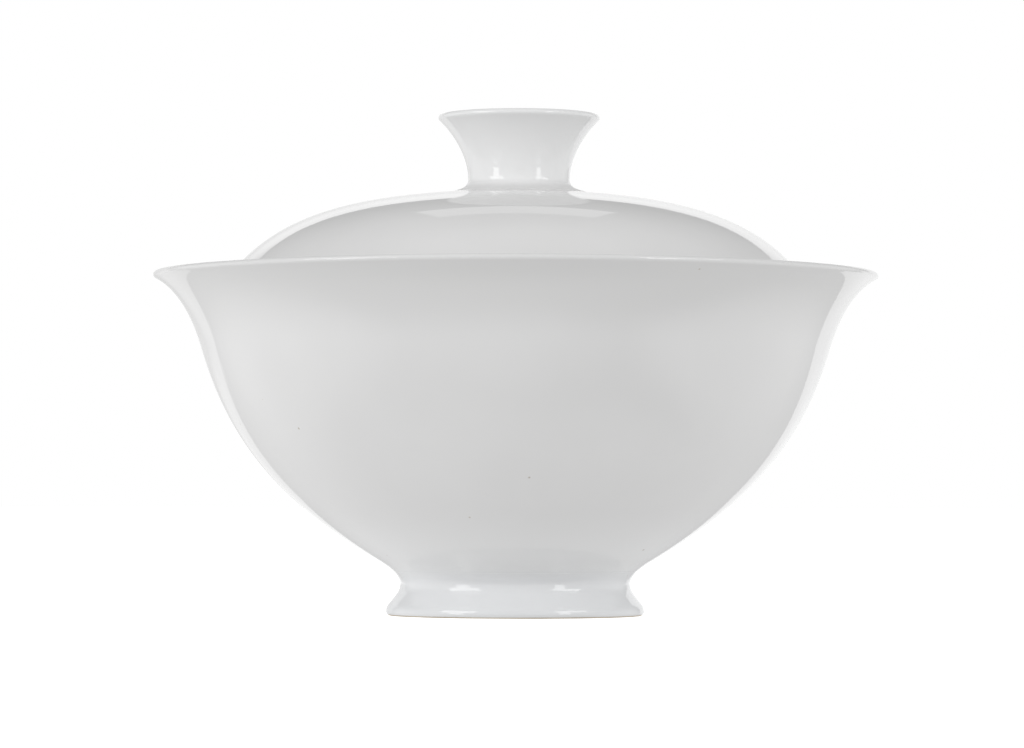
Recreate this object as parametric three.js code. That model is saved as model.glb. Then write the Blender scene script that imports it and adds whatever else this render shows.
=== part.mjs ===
// A gaiwan: a lidded porcelain tea bowl, in millimetres, +Z up.
// The origin is the middle of the circle that the foot ring stands on, and +Z is the axis that the
// bowl and the lid are turned about. Every piece is one closed solid of revolution.
import * as THREE from "three";

// Driving dimensions. A pair is [radius, height]. A pair of pulls tells how far a curve keeps to its
// first direction when it leaves a point, and to its last direction before it arrives at the next.
const RIM_RADIUS = 50; // widest point of the bowl's lip
const BOWL_HEIGHT = 47.2; // top of the bowl's lip
const FOOT_RADIUS = 17.85; // widest point of the foot ring
const FOOT_HEIGHT = 6.1; // where the foot ring is luted to the bowl's wall
const KNOB_RADIUS = 11.2; // widest point of the knob's rim
const OVERALL_HEIGHT = 69.2; // top of the knob's rim
const LUTING_GAP = 0.05; // thickness of the slip between two joined members

// The bowl's wall
const LIP_ROUNDING = 0.45; // half of the wall's thickness at the lip
const LIP_SLOPE = 27; // the wall's slope under the lip, degrees above level
const WALL_SLOPE = 73.7; // the wall's slope where the belly turns into the flare
const FOOT_SLOPE = 30; // the wall's slope where it meets the foot ring
const BELLY_START = [17.35, 6.65]; // outside, just above the foot ring
const BELLY_PULLS = [15.8, 14.85];
const FLARE_START = [43.3, 36.7]; // outside, where the belly turns into the flare
const FLARE_PULLS = [4.86, 3.24];
const FLARE_THICKNESS = 1.5; // wall thickness at the flare
const INNER_FLARE_PULLS = [3.7, 4.12];
const WELL_HEIGHT = 8; // the inside's lowest point
const WELL_PULLS = [13.9, 26.6];
const UNDERSIDE_SAG = 0.4; // how far the underside swells down inside the foot ring
const UNDERSIDE_PULLS = [5, 5];

// The foot ring
const FOOT_INNER_RADIUS = 13.6;
const FOOT_INNER_ARRIS = 0.4; // rounding of the standing edge, inside
const FOOT_OUTER_ARRIS = 0.6; // and outside
const FOOT_TOE_ROUNDING = 1.5; // the upper side of the rounded toe, above the outer arris
const FOOT_TOE_DEGREES = 38; // how far round the toe the outside leaves it
const FOOT_TOE_PULLS = [1.9, 1.1];
const FOOT_WAIST = [15.87, 4.4]; // the narrowest point of the outside
const FOOT_WAIST_PULLS = [0.7, 0.5];
const FOOT_TOP_RADIUS = 16.65; // outside, at the luting
const FOOT_TOP_SLOPE = 52; // the outside's slope there

// The lid
const KNOB_SEAT_RADIUS = 10.1; // the flat spot on the dome where the knob is luted
const LID_TOP = 58.25; // height of that flat spot
const LID_TOP_SLOPE = 7; // the dome's fall beside it, degrees below level
const LID_EDGE = [42.82, 40.7]; // outside, where the dome meets its rounded edge
const LID_EDGE_SLOPE = 69; // the dome's fall at the edge, degrees below level
const LID_EDGE_ROUNDING = 0.8;
const DOME_PULLS = [17.2, 9.1]; // from the edge up to the flat spot
const LID_THICKNESS = 1.95; // at the middle
const HOLLOW_PULLS = [20.5, 14.4]; // from the middle of the underside out to the edge

// The knob
const KNOB_SKIRT_SLOPE = 14; // the shallow skirt that the neck spreads into on the dome
const KNOB_SKIRT_PULLS = [2.6, 1.2];
const KNOB_NECK = [7.03, 60.3]; // where the neck starts to flare
const KNOB_FLARE_PULLS = [3, 2.6];
const KNOB_LIP_ROUNDING = 0.7;
const KNOB_LIP_SLOPE = 43; // the flare's slope under its lip
const KNOB_BORE_RADIUS = 5.2; // inside of the hollow knob, at its floor
const KNOB_BORE_PULLS = [2.6, 3.6];

const WALL_SEGMENTS = 64; // facets round the bowl and the dome
const SMALL_SEGMENTS = 40; // facets round the foot ring and the knob
const WALL_STEPS = 10; // points along a long curve of the wall
const SHORT_STEPS = 6; // points along a short curve
const EDGE_STEPS = 5; // points round an edge

const radians = THREE.MathUtils.degToRad;

// The point at a distance from another, in a direction given in degrees above level.
function away([radius, height], degrees, distance) {
  const angle = radians(degrees);
  return [radius + distance * Math.cos(angle), height + distance * Math.sin(angle)];
}

// The direction of a slope on the way back down and towards the axis.
function inwards(slope) {
  return slope - 180;
}

// Points along a smooth curve that leaves start in one direction and arrives at end in another.
function sweep(start, startDegrees, end, endDegrees, [startPull, endPull], steps) {
  const corners = [
    start,
    away(start, startDegrees, startPull),
    away(end, endDegrees, -endPull),
    end,
  ];
  const curve = new THREE.CubicBezierCurve(...corners.map((p) => new THREE.Vector2(...p)));
  return curve.getPoints(steps);
}

// Points round a circular arc, from one direction to another in degrees.
function arc([radius, height], rounding, fromDegrees, toDegrees, steps) {
  const clockwise = toDegrees < fromDegrees;
  const from = radians(fromDegrees);
  const to = radians(toDegrees);
  return new THREE.EllipseCurve(radius, height, rounding, rounding, from, to, clockwise).getPoints(steps);
}

// A named solid of revolution. The outline runs with the clay on its left, so its faces point out.
function turned(name, outline, segments, material) {
  const geometry = new THREE.LatheGeometry(outline, segments);
  geometry.rotateX(Math.PI / 2); // LatheGeometry turns about +Y, and the object stands on +Z
  const mesh = new THREE.Mesh(geometry, material);
  mesh.name = name;
  return mesh;
}

// White porcelain under a clear glaze, and the slightly cooler glaze that pools on the small members.
const wallGlaze = new THREE.MeshStandardMaterial({ color: 0xf1f1ef, roughness: 0.09, metalness: 0 });
const pooledGlaze = new THREE.MeshStandardMaterial({ color: 0xeef1f2, roughness: 0.08, metalness: 0 });

function bowlBody() {
  const lipCentre = [RIM_RADIUS - LIP_ROUNDING, BOWL_HEIGHT - LIP_ROUNDING];
  const lipOutside = away(lipCentre, LIP_SLOPE - 90, LIP_ROUNDING);
  const lipInside = away(lipCentre, LIP_SLOPE + 90, LIP_ROUNDING);
  const flareInside = away(FLARE_START, WALL_SLOPE + 90, FLARE_THICKNESS);
  const downWall = inwards(WALL_SLOPE);
  const landHeight = FOOT_HEIGHT + LUTING_GAP;
  const land = [FOOT_INNER_RADIUS, landHeight];
  const outline = [
    ...sweep([0, landHeight - UNDERSIDE_SAG], 0, land, 0, UNDERSIDE_PULLS, SHORT_STEPS),
    new THREE.Vector2(FOOT_TOP_RADIUS, landHeight),
    ...sweep(BELLY_START, FOOT_SLOPE, FLARE_START, WALL_SLOPE, BELLY_PULLS, WALL_STEPS),
    ...sweep(FLARE_START, WALL_SLOPE, lipOutside, LIP_SLOPE, FLARE_PULLS, SHORT_STEPS).slice(1),
    ...arc(lipCentre, LIP_ROUNDING, LIP_SLOPE - 90, LIP_SLOPE + 90, EDGE_STEPS + 1).slice(1),
    ...sweep(lipInside, inwards(LIP_SLOPE), flareInside, downWall, INNER_FLARE_PULLS, SHORT_STEPS).slice(1),
    ...sweep(flareInside, downWall, [0, WELL_HEIGHT], inwards(0), WELL_PULLS, WALL_STEPS).slice(1),
  ];
  return turned("bowl_body", outline, WALL_SEGMENTS, wallGlaze);
}

function bowlFootRing() {
  const innerArris = [FOOT_INNER_RADIUS + FOOT_INNER_ARRIS, FOOT_INNER_ARRIS];
  const outerArris = [FOOT_RADIUS - FOOT_OUTER_ARRIS, FOOT_OUTER_ARRIS];
  const toeCentre = [FOOT_RADIUS - FOOT_TOE_ROUNDING, FOOT_OUTER_ARRIS];
  const toeTop = away(toeCentre, FOOT_TOE_DEGREES, FOOT_TOE_ROUNDING);
  const top = [FOOT_TOP_RADIUS, FOOT_HEIGHT];
  const outline = [
    ...arc(innerArris, FOOT_INNER_ARRIS, 180, 270, EDGE_STEPS - 2),
    ...arc(outerArris, FOOT_OUTER_ARRIS, -90, 0, EDGE_STEPS - 1),
    ...arc(toeCentre, FOOT_TOE_ROUNDING, 0, FOOT_TOE_DEGREES, EDGE_STEPS - 2).slice(1),
    ...sweep(toeTop, FOOT_TOE_DEGREES + 90, FOOT_WAIST, 90, FOOT_TOE_PULLS, SHORT_STEPS - 2).slice(1),
    ...sweep(FOOT_WAIST, 90, top, FOOT_TOP_SLOPE, FOOT_WAIST_PULLS, SHORT_STEPS - 3).slice(1),
    new THREE.Vector2(FOOT_INNER_RADIUS, FOOT_HEIGHT),
    new THREE.Vector2(FOOT_INNER_RADIUS, FOOT_INNER_ARRIS),
  ];
  return turned("bowl_foot_ring", outline, SMALL_SEGMENTS, pooledGlaze);
}

function lidDome() {
  const fall = -LID_EDGE_SLOPE;
  const edgeCentre = away(LID_EDGE, fall - 90, LID_EDGE_ROUNDING);
  const edgeInside = away(edgeCentre, fall - 90, LID_EDGE_ROUNDING);
  const seat = [KNOB_SEAT_RADIUS, LID_TOP];
  const outline = [
    ...sweep([0, LID_TOP - LID_THICKNESS], 0, edgeInside, fall, HOLLOW_PULLS, WALL_STEPS),
    ...arc(edgeCentre, LID_EDGE_ROUNDING, fall - 90, fall + 90, EDGE_STEPS + 1).slice(1),
    ...sweep(LID_EDGE, 180 + fall, seat, 180 - LID_TOP_SLOPE, DOME_PULLS, WALL_STEPS).slice(1),
    new THREE.Vector2(0, LID_TOP),
  ];
  return turned("lid_dome", outline, WALL_SEGMENTS, wallGlaze);
}

function lidKnob() {
  const floor = LID_TOP + LUTING_GAP;
  const lipCentre = [KNOB_RADIUS - KNOB_LIP_ROUNDING, OVERALL_HEIGHT - KNOB_LIP_ROUNDING];
  const lipOutside = away(lipCentre, KNOB_LIP_SLOPE - 90, KNOB_LIP_ROUNDING);
  const lipInside = away(lipCentre, KNOB_LIP_SLOPE + 90, KNOB_LIP_ROUNDING);
  const skirt = [KNOB_SEAT_RADIUS, floor];
  const bore = [KNOB_BORE_RADIUS, floor];
  const outline = [
    new THREE.Vector2(...bore),
    ...sweep(skirt, 180 - KNOB_SKIRT_SLOPE, KNOB_NECK, 90, KNOB_SKIRT_PULLS, SHORT_STEPS),
    ...sweep(KNOB_NECK, 90, lipOutside, KNOB_LIP_SLOPE, KNOB_FLARE_PULLS, SHORT_STEPS).slice(1),
    ...arc(lipCentre, KNOB_LIP_ROUNDING, KNOB_LIP_SLOPE - 90, KNOB_LIP_SLOPE + 90, EDGE_STEPS).slice(1),
    ...sweep(lipInside, inwards(KNOB_LIP_SLOPE), bore, inwards(90), KNOB_BORE_PULLS, SHORT_STEPS).slice(1),
  ];
  return turned("lid_knob", outline, SMALL_SEGMENTS, pooledGlaze);
}

const bowl = new THREE.Group();
bowl.add(bowlBody(), bowlFootRing());

const lid = new THREE.Group();
lid.add(lidDome(), lidKnob());

const gaiwan = new THREE.Group();
gaiwan.add(bowl, lid);

export default gaiwan;
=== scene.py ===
import math

import bmesh
import bpy
from mathutils import Euler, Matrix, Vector, noise


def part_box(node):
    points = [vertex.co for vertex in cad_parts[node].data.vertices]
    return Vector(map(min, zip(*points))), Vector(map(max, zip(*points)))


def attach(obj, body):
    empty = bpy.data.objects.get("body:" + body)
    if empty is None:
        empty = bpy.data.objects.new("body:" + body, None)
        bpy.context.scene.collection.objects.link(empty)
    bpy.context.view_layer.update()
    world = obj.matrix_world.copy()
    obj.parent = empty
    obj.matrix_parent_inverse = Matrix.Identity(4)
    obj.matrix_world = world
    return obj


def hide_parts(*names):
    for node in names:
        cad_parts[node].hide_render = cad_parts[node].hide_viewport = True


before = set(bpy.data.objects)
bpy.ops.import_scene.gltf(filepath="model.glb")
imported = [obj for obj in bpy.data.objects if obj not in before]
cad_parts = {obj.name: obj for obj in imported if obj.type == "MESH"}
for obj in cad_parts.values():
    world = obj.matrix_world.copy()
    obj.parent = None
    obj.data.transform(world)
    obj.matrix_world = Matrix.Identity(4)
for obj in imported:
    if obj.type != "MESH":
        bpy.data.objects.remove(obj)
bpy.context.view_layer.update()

MM = 0.001


# ---------------------------------------------------------------------------------------------
# Sizes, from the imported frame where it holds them, in millimetres. A pair is (radius, height).


def extent(node):
    """The widest radius, the lowest height and the greatest height of a CAD node."""
    low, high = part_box(node)
    return high.x / MM, low.z / MM, high.z / MM


RIM_RADIUS, LAND_HEIGHT, BOWL_HEIGHT = extent("bowl_body")
FOOT_RADIUS, _, FOOT_HEIGHT = extent("bowl_foot_ring")
LID_RADIUS, LID_EDGE_HEIGHT, LID_TOP = extent("lid_dome")
KNOB_RADIUS, KNOB_FLOOR, OVERALL_HEIGHT = extent("lid_knob")

WAVER = 0.03  # how far the fired clay wavers from a true circle
WAVE_LENGTH = 24
CLEARANCE = 1.5 * WAVER  # keeps the wavering surface inside the CAD size


# ---------------------------------------------------------------------------------------------
# Outlines


def away(point, degrees, distance):
    """The point at a distance from another, in a direction given in degrees above level."""
    angle = math.radians(degrees)
    return point[0] + distance * math.cos(angle), point[1] + distance * math.sin(angle)


def inwards(slope):
    """The direction of a slope on the way back down and towards the axis."""
    return slope - 180


def sweep(start, start_degrees, end, end_degrees, pulls, steps):
    """Points along a smooth curve that leaves start and arrives at end in given directions.

    The pulls tell how far it keeps to its first direction, and to its last.
    """
    corners = (start, away(start, start_degrees, pulls[0]), away(end, end_degrees, -pulls[1]), end)
    points = []
    for step in range(steps + 1):
        t = step / steps
        weights = ((1 - t) ** 3, 3 * t * (1 - t) ** 2, 3 * t * t * (1 - t), t**3)
        points.append(tuple(sum(w * c[axis] for w, c in zip(weights, corners)) for axis in (0, 1)))
    return points


def arc(centre, rounding, from_degrees, to_degrees, steps):
    """Points round a circular arc, from one direction to another in degrees."""
    turn = (to_degrees - from_degrees) / steps
    return [away(centre, from_degrees + turn * step, rounding) for step in range(steps + 1)]


def joined(*stretches):
    """One outline from several stretches, with the point that two of them share kept once."""
    outline = []
    for stretch in stretches:
        for point in stretch:
            if not outline or math.dist(point, outline[-1]) > 1e-4:
                outline.append(point)
    return outline


BELLY_START = (17.35, 6.65)
BELLY_SLOPE = 30
BELLY_PULLS = (15.8, 14.85)
FLARE_START = (43.3, 36.7)
WALL_SLOPE = 73.7
WAIST = (15.87, 4.4)
JOINT_PULLS = (1.5, 1.5)
JOINT_BLEND = 3  # how many steps of the belly the joint's curve takes over


def belly():
    """The bowl's outside from just above the joint up to where it starts to flare."""
    return sweep(BELLY_START, BELLY_SLOPE, FLARE_START, WALL_SLOPE, BELLY_PULLS, 56)[JOINT_BLEND:]


def joint():
    """The curve from the foot ring's waist to the belly, in two halves: the ring's and the bowl's."""
    first, second = belly()[:2]
    slope = math.degrees(math.atan2(second[1] - first[1], second[0] - first[0]))
    curve = sweep(WAIST, 90, first, slope, JOINT_PULLS, 90)
    middle = next(i for i, point in enumerate(curve) if point[1] > FOOT_HEIGHT)
    return curve[: middle + 1], curve[middle:]


# The bowl
FLARE_PULLS = (4.86, 3.24)
WALL_THICKNESS = 1.5
LIP_ROUNDING = 0.4
LIP_SLOPE = 27
INNER_FLARE_PULLS = (3.7, 4.12)
WELL_HEIGHT = 8.0
WELL_PULLS = (13.9, 26.6)
UNDERSIDE_SAG = 0.4
UNDERSIDE_PULLS = (5, 5)
FOOT_INNER_RADIUS = 13.6


def bowl_outline():
    """The bowl's wall: underside, outside, lip and inside."""
    lip = (RIM_RADIUS - LIP_ROUNDING - CLEARANCE, BOWL_HEIGHT - LIP_ROUNDING - CLEARANCE)
    lip_outside = away(lip, LIP_SLOPE - 90, LIP_ROUNDING)
    lip_inside = away(lip, LIP_SLOPE + 90, LIP_ROUNDING)
    flare_inside = away(FLARE_START, WALL_SLOPE + 90, WALL_THICKNESS)
    down_wall = inwards(WALL_SLOPE)
    land = (FOOT_INNER_RADIUS, LAND_HEIGHT + UNDERSIDE_SAG)
    return joined(
        sweep((0, LAND_HEIGHT), 0, land, 0, UNDERSIDE_PULLS, 16),
        joint()[1],
        belly(),
        sweep(FLARE_START, WALL_SLOPE, lip_outside, LIP_SLOPE, FLARE_PULLS, 26),
        arc(lip, LIP_ROUNDING, LIP_SLOPE - 90, LIP_SLOPE + 90, 12),
        sweep(lip_inside, inwards(LIP_SLOPE), flare_inside, down_wall, INNER_FLARE_PULLS, 26),
        sweep(flare_inside, down_wall, (0, WELL_HEIGHT), inwards(0), WELL_PULLS, 56),
    )


# The foot ring
OUTER_ARRIS = 0.6
INNER_ARRIS = 0.4
TOE_ROUNDING = 1.5
TOE_DEGREES = 38
TOE_PULLS = (1.9, 1.1)
RECESS_FILLET = 1.2  # where the ring's inside turns into the bowl's underside
BARE_HEIGHT = 0.18  # the glaze is wiped off up to this height
TUCK = 0.3  # how far the ring's top reaches up inside the bowl's wall


def foot_outline():
    """The foot ring: standing edge, toe, waist and the top that is tucked into the wall."""
    widest = FOOT_RADIUS - CLEARANCE
    inner_arris = (FOOT_INNER_RADIUS + INNER_ARRIS, INNER_ARRIS)
    outer_arris = (widest - OUTER_ARRIS, OUTER_ARRIS)
    toe = (widest - TOE_ROUNDING, OUTER_ARRIS)
    toe_top = away(toe, TOE_DEGREES, TOE_ROUNDING)
    tucked = (WAIST[0], FOOT_HEIGHT + TUCK)
    inner_corner = (FOOT_INNER_RADIUS - RECESS_FILLET, FOOT_HEIGHT - RECESS_FILLET)
    return joined(
        arc(inner_arris, INNER_ARRIS, 180, 270, 6),
        arc(outer_arris, OUTER_ARRIS, -90, 0, 8),
        arc(toe, TOE_ROUNDING, 0, TOE_DEGREES, 8),
        sweep(toe_top, TOE_DEGREES + 90, WAIST, 90, TOE_PULLS, 14),
        joint()[0],
        [tucked, (inner_corner[0], tucked[1])],
        arc(inner_corner, RECESS_FILLET, 90, 0, 8),
    )


# The lid
LID_EDGE = (42.78, 40.7)
LID_EDGE_SLOPE = 69
LID_EDGE_ROUNDING = 0.8
DOME_PULLS = (17.2, 9.1)
LID_THICKNESS = 1.95
HOLLOW_PULLS = (20.5, 14.4)
SEAT_RADIUS = 10.1
SEAT_SLOPE = 7


def dome_outline():
    """The lid's dome: its hollow, its rounded edge, its outside and the seat of the knob."""
    fall = -LID_EDGE_SLOPE
    edge = away(LID_EDGE, fall - 90, LID_EDGE_ROUNDING)
    edge_inside = away(edge, fall - 90, LID_EDGE_ROUNDING)
    seat = (SEAT_RADIUS, LID_TOP)
    return joined(
        sweep((0, LID_TOP - LID_THICKNESS), 0, edge_inside, fall, HOLLOW_PULLS, 64),
        arc(edge, LID_EDGE_ROUNDING, fall - 90, fall + 90, 14),
        sweep(LID_EDGE, 180 + fall, seat, 180 - SEAT_SLOPE, DOME_PULLS, 64),
        [(0, LID_TOP)],
    )


SKIRT_SLOPE = 14
SKIRT_PULLS = (2.6, 1.2)
NECK = (7.03, 60.3)
KNOB_FLARE_PULLS = (3.0, 2.6)
KNOB_LIP_ROUNDING = 0.45
KNOB_LIP_SLOPE = 43
SKIRT_TOP = 59.3  # up to here the skirt's glaze is dull
SINK = 0.1  # how far the knob's skirt is sunk into the dome's glaze
KNOB_OFFSET = 0.4  # the knob was luted on this far to the right of the dome's axis
BORE_RADIUS = 5.2
BORE_PULLS = (2.6, 3.0)
BORE_FILLET = 1.0


def knob_outline():
    """The hollow knob: skirt, neck, flare, lip and bore."""
    lip = (KNOB_RADIUS - KNOB_LIP_ROUNDING - CLEARANCE, OVERALL_HEIGHT - KNOB_LIP_ROUNDING - CLEARANCE)
    lip_outside = away(lip, KNOB_LIP_SLOPE - 90, KNOB_LIP_ROUNDING)
    lip_inside = away(lip, KNOB_LIP_SLOPE + 90, KNOB_LIP_ROUNDING)
    floor_corner = (BORE_RADIUS - BORE_FILLET, KNOB_FLOOR + BORE_FILLET)
    return joined(
        [(BORE_RADIUS - BORE_FILLET, LID_TOP - SINK)],
        [(SEAT_RADIUS, LID_TOP - SINK)],
        sweep((SEAT_RADIUS, LID_TOP), 180 - SKIRT_SLOPE, NECK, 90, SKIRT_PULLS, 24),
        sweep(NECK, 90, lip_outside, KNOB_LIP_SLOPE, KNOB_FLARE_PULLS, 24),
        arc(lip, KNOB_LIP_ROUNDING, KNOB_LIP_SLOPE - 90, KNOB_LIP_SLOPE + 90, 12),
        sweep(lip_inside, inwards(KNOB_LIP_SLOPE), (BORE_RADIUS, floor_corner[1]), -90, BORE_PULLS, 24),
        arc(floor_corner, BORE_FILLET, 0, -90, 8),
    )


# ---------------------------------------------------------------------------------------------
# Meshes

SEGMENTS = 192
SHARP_DEGREES = 40
STEADY_HEIGHT = 3  # below this the clay wavers less and less up and down
BOWL_SEED = 0.0  # the pieces of one body waver together
LID_SEED = 7.0
noise.seed_set(1)  # without a seed the noise would differ from run to run


def wavered(point, seed):
    """The point moved a hair, as clay moves in the kiln, though not through the standing plane."""
    shift = WAVER * noise.noise_vector(point / WAVE_LENGTH + Vector((seed, 0, 0)))
    shift.z *= min(point.z / STEADY_HEIGHT, 1)
    return point + shift


def turned(name, outline, body, node, materials, seed, offset=0.0):
    """A closed piece turned about +Z from an outline that runs with the clay on its left.

    The offset moves its axis to the right, in millimetres.
    """
    closed = outline[0][0] > 0
    shape = bmesh.new()
    rings = []
    for radius, height in outline:
        ring = []
        for segment in range(SEGMENTS if radius > 0 else 1):
            turn = 2 * math.pi * segment / SEGMENTS
            point = Vector((offset + radius * math.cos(turn), radius * math.sin(turn), height))
            ring.append(shape.verts.new(wavered(point, seed) * MM))
        rings.append(ring)
    pairs = list(zip(rings, rings[1:] + rings[:1])) if closed else list(zip(rings, rings[1:]))
    for lower, upper in pairs:
        for segment in range(SEGMENTS):
            after = (segment + 1) % SEGMENTS
            if len(lower) == 1:
                shape.faces.new((lower[0], upper[after], upper[segment]))
            elif len(upper) == 1:
                shape.faces.new((lower[segment], lower[after], upper[0]))
            else:
                shape.faces.new((lower[segment], lower[after], upper[after], upper[segment]))
    for face in shape.faces:
        face.smooth = True
    for edge in shape.edges:
        edge.smooth = edge.calc_face_angle(0) < math.radians(SHARP_DEGREES)
    mesh = bpy.data.meshes.new(name)
    shape.to_mesh(mesh)
    shape.free()
    piece = bpy.data.objects.new(name, mesh)
    bpy.context.scene.collection.objects.link(piece)
    for material in materials:
        mesh.materials.append(material)
    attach(piece, body)
    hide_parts(node)
    return piece


# ---------------------------------------------------------------------------------------------
# Materials


class Nodes:
    """A short way to build a node tree: each call makes a node, sets it up and wires its inputs."""

    def __init__(self, tree):
        self.tree = tree
        tree.nodes.clear()

    def add(self, kind, inputs=None, **settings):
        made = self.tree.nodes.new(kind)
        for key, value in settings.items():
            setattr(made, key, value)
        for key, value in (inputs or {}).items():
            socket = made.inputs[key]
            if isinstance(value, bpy.types.NodeSocket):
                self.tree.links.new(value, socket)
            else:
                socket.default_value = value
        return made

    def maths(self, operation, *values):
        made = self.add("ShaderNodeMath", dict(enumerate(values)), operation=operation)
        return made.outputs[0]

    def ramp(self, value, low, high, low_result=0.0, high_result=1.0):
        """A smooth step from low_result to high_result as value goes from low to high."""
        inputs = {
            "Value": value,
            "From Min": low,
            "From Max": high,
            "To Min": low_result,
            "To Max": high_result,
        }
        made = self.add("ShaderNodeMapRange", inputs, interpolation_type="SMOOTHSTEP")
        return made.outputs["Result"]

    def between(self, factor, first, second):
        """A number that goes from first to second as factor goes from 0 to 1."""
        made = self.add("ShaderNodeMix", {0: factor, 2: first, 3: second})
        return made.outputs[0]

    def mix(self, factor, first, second):
        made = self.add("ShaderNodeMix", {0: factor, 6: first, 7: second}, data_type="RGBA")
        return made.outputs[2]

    def product(self, *factors):
        result = factors[0]
        for factor in factors[1:]:
            result = self.maths("MULTIPLY", result, factor)
        return result

    def noise(self, where, scale, detail, roughness=0.5):
        inputs = {"Vector": where, "Scale": scale, "Detail": detail, "Roughness": roughness}
        return self.add("ShaderNodeTexNoise", inputs).outputs["Fac"]


def new_material(name):
    """A material and its empty node tree."""
    material = bpy.data.materials.new(name)
    material.use_nodes = True
    return material, Nodes(material.node_tree)


# The clearest iron specks: degrees round from the front towards the right, and height.
BOWL_SPECKS = ((53.4, 9.2), (-59.0, 8.5), (-12.5, 13.7), (3.1, 18.9), (-48.3, 25.3), (29.1, 45.7))
LID_SPECKS = ((21.9, 49.1), (-141.0, 53.0))
SPECK_HEART = 0.06  # within this radius a speck has its full colour
SPECK_REACH = 0.24  # and here it has faded away
GRAIN_SCALE = 117.0  # cells of the clay's grain in a metre; few of them leave a speck
GRAIN_HEART = 0.012  # the same two radii, in parts of a cell
GRAIN_REACH = 0.020
IRON = (0.52, 0.47, 0.41, 1)
CLOUD_SCALE = 60  # scales of noise count its waves in a metre
CLOUD_SHADE = 0.975  # the clay's brightness in its dark clouds
GLOSS_SCALE = 220
SMOOTHEST = 0.004  # the glaze's roughness
LEAST_SMOOTH = 0.02
DULL_ROUGHNESS = 0.5
DULL_SPECULAR = 0.1
PEEL_SCALE = 420
PEEL_STRENGTH = 0.12
PEEL_DEPTH = 0.02

# Pairs of heights between which the glaze, its gloss, its painted bounce light and its painted shade
# change.
POOL_FADES = (5, 7)
BOTTOM_LIGHT_FADES = (8, 15)
KNOB_LIGHT_BEGINS = (58.5, 60)
SHADE_BEGINS = (36, 45)
SHADE_FADES = (44.5, 48)
DULL_BEGINS = (LID_TOP - 0.2, LID_TOP)
DULL_FADES = (SKIRT_TOP, SKIRT_TOP + 0.4)


def on_outline(outline, turn, height):
    """The point in metres on the outside of a turned piece, at an angle and a height."""
    crossed = []
    for lower, upper in zip(outline, outline[1:]):
        if min(lower[1], upper[1]) <= height <= max(lower[1], upper[1]):
            crossed.append(lower[0])
    angle = math.radians(turn - 90)
    return Vector((max(crossed) * math.cos(angle), max(crossed) * math.sin(angle), height)) * MM


def porcelain(name, clay, pooled, painted_bounce_light, painted_shade):
    """Glazed porcelain: cloudy white clay under a clear glaze, with a few iron specks."""
    material, nodes = new_material(name)
    where = nodes.add("ShaderNodeTexCoord").outputs["Object"]
    height = nodes.add("ShaderNodeSeparateXYZ", {0: where}).outputs["Z"]

    def above(low, high):
        """A smooth step from 0 to 1 between two heights in millimetres."""
        return nodes.ramp(height, low * MM, high * MM)

    def below(low, high):
        """A smooth step from 1 to 0 between two heights in millimetres."""
        return nodes.ramp(height, low * MM, high * MM, 1, 0)

    # The clay clouds a little. The glaze lies thicker and cooler round the foot. The knob and the
    # bottom of the bowl are painted a touch whiter as painted bounce light, and under the bowl's lip a
    # painted shade dims them.
    cloud = nodes.ramp(nodes.noise(where, CLOUD_SCALE, 3), 0.3, 0.7)
    cloudy = nodes.mix(cloud, clay, tuple(CLOUD_SHADE * c for c in clay[:3]) + (1,))
    at_foot = below(*POOL_FADES)
    bounce_light_at_bottom = below(*BOTTOM_LIGHT_FADES)
    bounce_light_at_knob = above(*KNOB_LIGHT_BEGINS)
    painted_shade_under_lip = nodes.product(above(*SHADE_BEGINS), below(*SHADE_FADES))
    # Painted bounce light: the knob and the bowl's bottom are painted whiter.
    glazed = nodes.mix(nodes.maths("MAXIMUM", bounce_light_at_bottom, bounce_light_at_knob), cloudy, painted_bounce_light)
    glazed = nodes.mix(at_foot, glazed, pooled)
    # Painted shade: the band under the bowl's lip is painted dimmer.
    glazed = nodes.mix(painted_shade_under_lip, glazed, painted_shade)

    # Small iron specks lie wherever the heart of a cell of the grain happens to touch the surface.
    grain = nodes.add("ShaderNodeTexVoronoi", {"Vector": where, "Scale": GRAIN_SCALE})
    speck = nodes.ramp(grain.outputs["Distance"], GRAIN_HEART, GRAIN_REACH, 1, 0)
    specks = [on_outline(bowl_outline(), *place) for place in BOWL_SPECKS]
    specks += [on_outline(dome_outline(), *place) for place in LID_SPECKS]
    for place in specks:
        apart = nodes.add("ShaderNodeVectorMath", {0: where, 1: place}, operation="DISTANCE")
        near = nodes.ramp(apart.outputs["Value"], SPECK_HEART * MM, SPECK_REACH * MM, 1, 0)
        speck = nodes.maths("MAXIMUM", speck, near)
    colour = nodes.mix(speck, glazed, IRON)

    # The glaze is glossy, a touch uneven, with a faint orange-peel surface. It lies thin and dull
    # on the knob's skirt, where the knob was luted on.
    dull = nodes.product(below(*DULL_FADES), above(*DULL_BEGINS))
    roughness = nodes.ramp(nodes.noise(where, GLOSS_SCALE, 2), 0.3, 0.7, SMOOTHEST, LEAST_SMOOTH)
    bumps = nodes.noise(where, PEEL_SCALE, 1)
    peel = nodes.add(
        "ShaderNodeBump",
        {"Height": bumps, "Strength": PEEL_STRENGTH, "Distance": PEEL_DEPTH * MM},
    )
    surface = nodes.add(
        "ShaderNodeBsdfPrincipled",
        {
            "Base Color": colour,
            "Roughness": nodes.between(dull, roughness, DULL_ROUGHNESS),
            "Specular IOR Level": nodes.between(dull, 0.5, DULL_SPECULAR),
            "IOR": 1.5,
            "Normal": peel.outputs["Normal"],
        },
    )
    nodes.add("ShaderNodeOutputMaterial", {"Surface": surface.outputs["BSDF"]})
    return material


TAN_CLAY = (0.62, 0.54, 0.42, 1)
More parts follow.
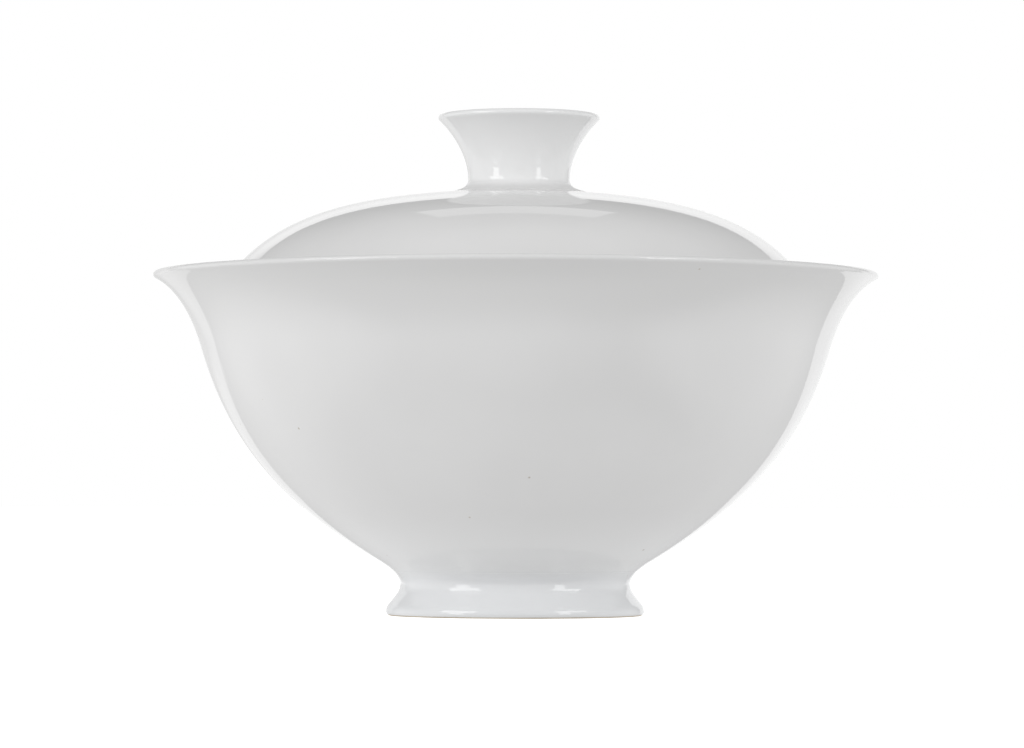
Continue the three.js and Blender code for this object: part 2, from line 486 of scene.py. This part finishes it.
# The dark clay is partly scorch and partly a painted contact shadow along the standing edge.
SCORCH_AND_SHADOW_CLAY = (0.42, 0.33, 0.23, 1)
SCORCH_AND_SHADOW_SCALE = 130
SAND = (0.7, 0.64, 0.54, 1)
SAND_SCALE = 2600
SAND_SHARE = 0.5
SAND_STRENGTH = 0.6
SAND_DEPTH = 0.05
BARE_ROUGHNESS = 0.8


def biscuit():
    """Bare fired clay on the standing edge: matte, sandy and slightly tan."""
    material, nodes = new_material("bare_clay")
    where = nodes.add("ShaderNodeTexCoord").outputs["Object"]
    sand = nodes.noise(where, SAND_SCALE, 4, 0.7)
    # Dark patches: partly scorched clay, partly painted contact shadow along the edge.
    scorch_and_shadow = nodes.ramp(nodes.noise(where, SCORCH_AND_SHADOW_SCALE, 2), 0.35, 0.65)
    colour = nodes.mix(scorch_and_shadow, TAN_CLAY, SCORCH_AND_SHADOW_CLAY)
    grit = nodes.add(
        "ShaderNodeBump",
        {"Height": sand, "Strength": SAND_STRENGTH, "Distance": SAND_DEPTH * MM},
    )
    surface = nodes.add(
        "ShaderNodeBsdfPrincipled",
        {
            "Base Color": nodes.mix(nodes.product(sand, SAND_SHARE), colour, SAND),
            "Roughness": BARE_ROUGHNESS,
            "Normal": grit.outputs["Normal"],
        },
    )
    nodes.add("ShaderNodeOutputMaterial", {"Surface": surface.outputs["BSDF"]})
    return material


# ---------------------------------------------------------------------------------------------
# The studio. The camera's places are in millimetres, as above, and the other places in metres. A
# thing whose brightness is 1 looks as white as the page.

DISTANCE = 12 * RIM_RADIUS  # from the camera to the bowl's axis
EYE_HEIGHT = 16.2
AIM_HEIGHT = 33.3
AIM_LEFT = 0.5  # how far to the left of the axis the camera is aimed
ROLL = 0.13  # degrees
LENS = 152.8
SENSOR_WIDTH = 36


def make_camera():
    """A long lens just above the table, a little below the middle of the bowl, looking up a hair."""
    eye = Vector((0, -DISTANCE, EYE_HEIGHT)) * MM
    aim = Vector((-AIM_LEFT, 0, AIM_HEIGHT)) * MM
    camera = bpy.data.cameras.new("camera")
    camera.lens = LENS
    camera.sensor_width = SENSOR_WIDTH
    camera.clip_start = 0.05
    camera.clip_end = 50
    holder = bpy.data.objects.new("camera", camera)
    bpy.context.scene.collection.objects.link(holder)
    holder.location = eye
    roll = Euler((0, 0, math.radians(ROLL))).to_quaternion()
    holder.rotation_mode = "QUATERNION"
    holder.rotation_quaternion = (aim - eye).to_track_quat("-Z", "Y") @ roll
    bpy.context.scene.camera = holder


def flat_panel(name, corners, material):
    """A flat panel of the studio with four corners."""
    mesh = bpy.data.meshes.new(name)
    mesh.from_pydata(corners, [], [(0, 1, 2, 3)])
    mesh.materials.append(material)
    panel = bpy.data.objects.new(name, mesh)
    bpy.context.scene.collection.objects.link(panel)
    return panel


WHITE = (1, 1, 1, 1)
TABLE_REACH = 6.0
TABLE_GREY = 0.7
TABLE_GLOW = 0.78


def make_floor():
    """A pale table, lit so that only the object's contact shadow shows on it."""
    material, nodes = new_material("table_top")
    material.cycles.emission_sampling = "NONE"
    lit = nodes.add("ShaderNodeBsdfDiffuse", {"Color": (TABLE_GREY, TABLE_GREY, TABLE_GREY, 1)})
    glow = nodes.add("ShaderNodeEmission", {"Color": WHITE, "Strength": TABLE_GLOW})
    both = nodes.add("ShaderNodeAddShader", {0: lit.outputs[0], 1: glow.outputs[0]})
    nodes.add("ShaderNodeOutputMaterial", {"Surface": both.outputs[0]})

    reach = TABLE_REACH
    corners = [(-reach, -reach, 0), (reach, -reach, 0), (reach, reach, 0), (-reach, reach, 0)]
    floor = flat_panel("table", corners, material)
    floor.visible_glossy = False
    floor.visible_diffuse = False


SHEET_NEAR = 0.046  # how far behind the bowl's axis the lit sheet begins
SHEET_FAR = 1.2
SHEET_LIFT = 0.0002
SHEET_FADE = (0.12, 0.50)  # where its brightness changes from near to far
NEAR_BRIGHTNESS = (1.12, 1.24)  # on the left, on the right
FAR_BRIGHTNESS = (0.84, 1.10)


def make_lit_sheet():
    """The lit sheet where it lies on the table behind the object, brightest where it is near.

    Only the glaze mirrors it.
    """
    material, nodes = new_material("lit_sheet")
    material.cycles.emission_sampling = "NONE"
    where = nodes.add("ShaderNodeTexCoord").outputs["Object"]
    parts = nodes.add("ShaderNodeSeparateXYZ", {0: where}).outputs
    near_level = nodes.ramp(parts["X"], -0.1, 0.1, *NEAR_BRIGHTNESS)
    far_level = nodes.ramp(parts["X"], -0.1, 0.1, *FAR_BRIGHTNESS)
    level = nodes.between(nodes.ramp(parts["Y"], *SHEET_FADE), near_level, far_level)
    glow = nodes.add("ShaderNodeEmission", {"Color": WHITE, "Strength": level})
    nodes.add("ShaderNodeOutputMaterial", {"Surface": glow.outputs[0]})

    near, far, lift = SHEET_NEAR, SHEET_FAR, SHEET_LIFT
    corners = [(-near, near, lift), (near, near, lift), (far, far, lift), (-far, far, lift)]
    sheet = flat_panel("lit_sheet", corners, material)
    sheet.visible_camera = False
    sheet.visible_diffuse = False
    sheet.visible_shadow = False


SOFTBOX_DISTANCE = 1.3
SOFTBOX_AIM = Vector((0, 0, 0.03))
SOFTBOX_BRIGHTNESS = 3.5


def make_softbox(name, azimuths, elevations):
    """A rectangular softbox that fills the given directions, in degrees, as the object sees it.

    Azimuth 0 is where the camera stands, and it grows to the right.
    """
    distance = SOFTBOX_DISTANCE
    turn = math.radians(sum(azimuths) / 2)
    rise = math.radians(sum(elevations) / 2)
    back = Vector((math.sin(turn) * math.cos(rise), -math.cos(turn) * math.cos(rise), math.sin(rise)))
    width = 2 * distance * math.cos(rise) * math.tan(math.radians(azimuths[1] - azimuths[0]) / 2)
    height = 2 * distance * math.tan(math.radians(elevations[1] - elevations[0]) / 2)
    light = bpy.data.lights.new(name, "AREA")
    light.shape = "RECTANGLE"
    light.size = width
    light.size_y = height
    light.energy = SOFTBOX_BRIGHTNESS * math.pi * width * height
    holder = bpy.data.objects.new(name, light)
    bpy.context.scene.collection.objects.link(holder)
    holder.location = back * distance + SOFTBOX_AIM
    holder.rotation_mode = "QUATERNION"
    holder.rotation_quaternion = (-back).to_track_quat("-Z", "Y")
    holder.visible_camera = False


class Sky(Nodes):
    """The world's node tree, with the directions that light comes from, as the object sees them."""

    def __init__(self, tree):
        super().__init__(tree)
        direction = self.add("ShaderNodeTexCoord").outputs["Generated"]
        parts = self.add("ShaderNodeSeparateXYZ", {0: direction}).outputs
        self.right, self.behind, self.up = parts["X"], parts["Y"], parts["Z"]
        self.sideways = self.maths("ABSOLUTE", self.right)
        self.azimuth = self.maths("ARCTAN2", self.right, self.behind)
        self.in_front = self.ramp(self.behind, 0.5, -0.25)

    def rise(self, low, high, low_result=0.0, high_result=1.0):
        """A smooth step between two elevations in degrees."""
        low, high = math.sin(math.radians(low)), math.sin(math.radians(high))
        return self.ramp(self.up, low, high, low_result, high_result)

    def swing(self, left, right, left_result=0.0, right_result=1.0):
        """A smooth step between two azimuths in degrees, where 0 is straight behind the object."""
        left, right = math.radians(left), math.radians(right)
        return self.ramp(self.azimuth, left, right, left_result, right_result)


ROOM_BRIGHTNESS = (0.93, 0.42)  # low down, overhead
GAP_BRIGHTNESS = (0.35, 0.52)  # at its foot, higher up
GAP_GAIN_OVERHEAD = 0.30
GAP_GAIN_RIGHT = 0.10


def room_above(sky):
    """A lit room in front under a dim ceiling, and a dark gap over the backdrop."""
    room = sky.rise(6, 64, *ROOM_BRIGHTNESS)
    gap = sky.maths("ADD", sky.rise(34, 60, *GAP_BRIGHTNESS), sky.rise(60, 90, 0, GAP_GAIN_OVERHEAD))
    gap = sky.maths("ADD", gap, sky.ramp(sky.right, 0.05, 0.5, 0, GAP_GAIN_RIGHT))
    return sky.between(sky.in_front, gap, room)


TABLE_BRIGHTNESS = (0.29, 0.98)  # in front, behind
TABLE_GAIN = (-0.03, -0.20)  # on the left, on the right
UNDER_BRIGHTNESS = 1.00
EDGE_BRIGHTNESS = (0.60, 0.86)  # behind, in front


def table_below(sky):
    """The table: dim in front, paler behind and to the left, palest straight under the object."""
    deep = sky.ramp(sky.behind, -0.6, 0.5, *TABLE_BRIGHTNESS)
    rightwards = sky.ramp(sky.right, -0.9, 0.9, *TABLE_GAIN)
    table = sky.between(sky.rise(-90, -40), UNDER_BRIGHTNESS, sky.maths("ADD", deep, rightwards))
    far_edge = sky.between(sky.in_front, *EDGE_BRIGHTNESS)
    return sky.between(sky.rise(-38, -2), table, far_edge)


STAND_BRIGHTNESS = 0.35


def camera_stand(sky, level):
    """The camera on its stand is a dark shape in front of the object."""
    upright = sky.ramp(sky.sideways, 0.12, 0.34, 1, 0)
    stand = sky.product(upright, sky.rise(-2, 6, 1, 0), sky.ramp(sky.behind, -0.5, -0.8))
    return sky.between(stand, level, STAND_BRIGHTNESS)


REFLECTOR_BRIGHTNESS = (1.07, 0.96)  # the left one, the right one


def reflectors(sky, level):
    """A reflector stands on each side, just below the middle."""
    sides = sky.product(sky.ramp(sky.sideways, 0.55, 0.85), sky.rise(-50, -30), sky.rise(2, 25, 1, 0))
    return sky.between(sides, level, sky.ramp(sky.right, -0.1, 0.1, *REFLECTOR_BRIGHTNESS))


BACKDROP_BRIGHTNESS = (0.84, 1.1)  # on the left, on the right
TOP_GLOW_BRIGHTNESS = 1.25
BACKDROP_LEFT = -36.5  # degrees from straight behind the object
BACKDROP_RIGHT = 30.25
BACKDROP_FOOT = -10.5
BACKDROP_TOP = 24  # degrees up to the middle of its top edge


def backdrop(sky, level):
    """The lit sheet where it stands up behind the object, flat, crisp and brighter to the right.

    It glows along the middle of its top edge.
    """
    top_glow = sky.product(sky.rise(10, 20), sky.ramp(sky.sideways, 0.24, 0.42, 1, 0))
    lit = sky.ramp(sky.right, -0.4, 0.4, *BACKDROP_BRIGHTNESS)
    brightness = sky.between(top_glow, lit, TOP_GLOW_BRIGHTNESS)
    left_side = sky.swing(BACKDROP_LEFT - 0.5, BACKDROP_LEFT + 0.5)
    right_side = sky.swing(BACKDROP_RIGHT - 0.75, BACKDROP_RIGHT + 0.75, 1, 0)
    foot = sky.rise(BACKDROP_FOOT - 1.5, BACKDROP_FOOT + 1.5)
    slope = sky.maths("DIVIDE", sky.up, sky.maths("MAXIMUM", sky.behind, 0.01))
    highest = math.tan(math.radians(BACKDROP_TOP))
    top = sky.ramp(slope, highest, 1.02 * highest, 1, 0)
    return sky.between(sky.product(right_side, left_side, top, foot), level, brightness)


HIGH_LAMP_BRIGHTNESS = 0.97


def high_lamp(sky, level):
    """A lamp high behind the backdrop leaves a short streak on the dome."""
    narrow = sky.product(sky.ramp(sky.sideways, 0.14, 0.15, 1, 0), sky.ramp(sky.behind, 0, 0.1))
    lamp = sky.product(narrow, sky.rise(40, 41), sky.rise(50, 51, 1, 0))
    return sky.between(lamp, level, HIGH_LAMP_BRIGHTNESS)


def make_surroundings():
    """The studio all round, as light: what the glaze mirrors and what lights it softly."""
    world = bpy.data.worlds.new("studio")
    bpy.context.scene.world = world
    world.use_nodes = True
    sky = Sky(world.node_tree)
    level = sky.between(sky.rise(-2, 6), table_below(sky), room_above(sky))
    for thing in (camera_stand, reflectors, backdrop, high_lamp):
        level = thing(sky, level)

    # The page behind the object is plain white to the camera.
    seen = sky.add("ShaderNodeLightPath").outputs["Is Camera Ray"]
    strength = sky.between(seen, level, 1)
    light = sky.add("ShaderNodeBackground", {"Color": WHITE, "Strength": strength})
    sky.add("ShaderNodeOutputWorld", {"Surface": light.outputs[0]})


# ---------------------------------------------------------------------------------------------
# Everything together

make_camera()
make_floor()
make_lit_sheet()
make_surroundings()
make_softbox("softbox_left", (-70, -36), (8, 28))
make_softbox("softbox_left_skirt", (-60, -46), (-10, 8))
make_softbox("softbox_right", (38, 70), (14, 28))
make_softbox("softbox_right_skirt", (40, 50), (-10, 14))

wall_glaze = porcelain(
    "wall_glaze",
    clay=(0.790, 0.789, 0.788, 1),
    pooled=(0.772, 0.781, 0.792, 1),
    # painted bounce light on the knob and the bowl's bottom
    painted_bounce_light=(0.838, 0.841, 0.842, 1),
    # painted shade under the bowl's lip
    painted_shade=(0.733, 0.732, 0.729, 1),
)
bare_clay = biscuit()

glazed_and_bare = [wall_glaze, bare_clay]
turned("bowl_wall", bowl_outline(), "bowl", "bowl_body", [wall_glaze], BOWL_SEED)
foot = turned(
    "foot_ring", foot_outline(), "bowl", "bowl_foot_ring", glazed_and_bare, BOWL_SEED
)
for face in foot.data.polygons:
    if face.center.z < BARE_HEIGHT * MM:
        face.material_index = 1
turned("lid_dome_shell", dome_outline(), "lid", "lid_dome", [wall_glaze], LID_SEED)
turned(
    "knob_ring", knob_outline(), "lid", "lid_knob", [wall_glaze], LID_SEED, KNOB_OFFSET
)

bpy.context.scene.view_settings.view_transform = "Standard"
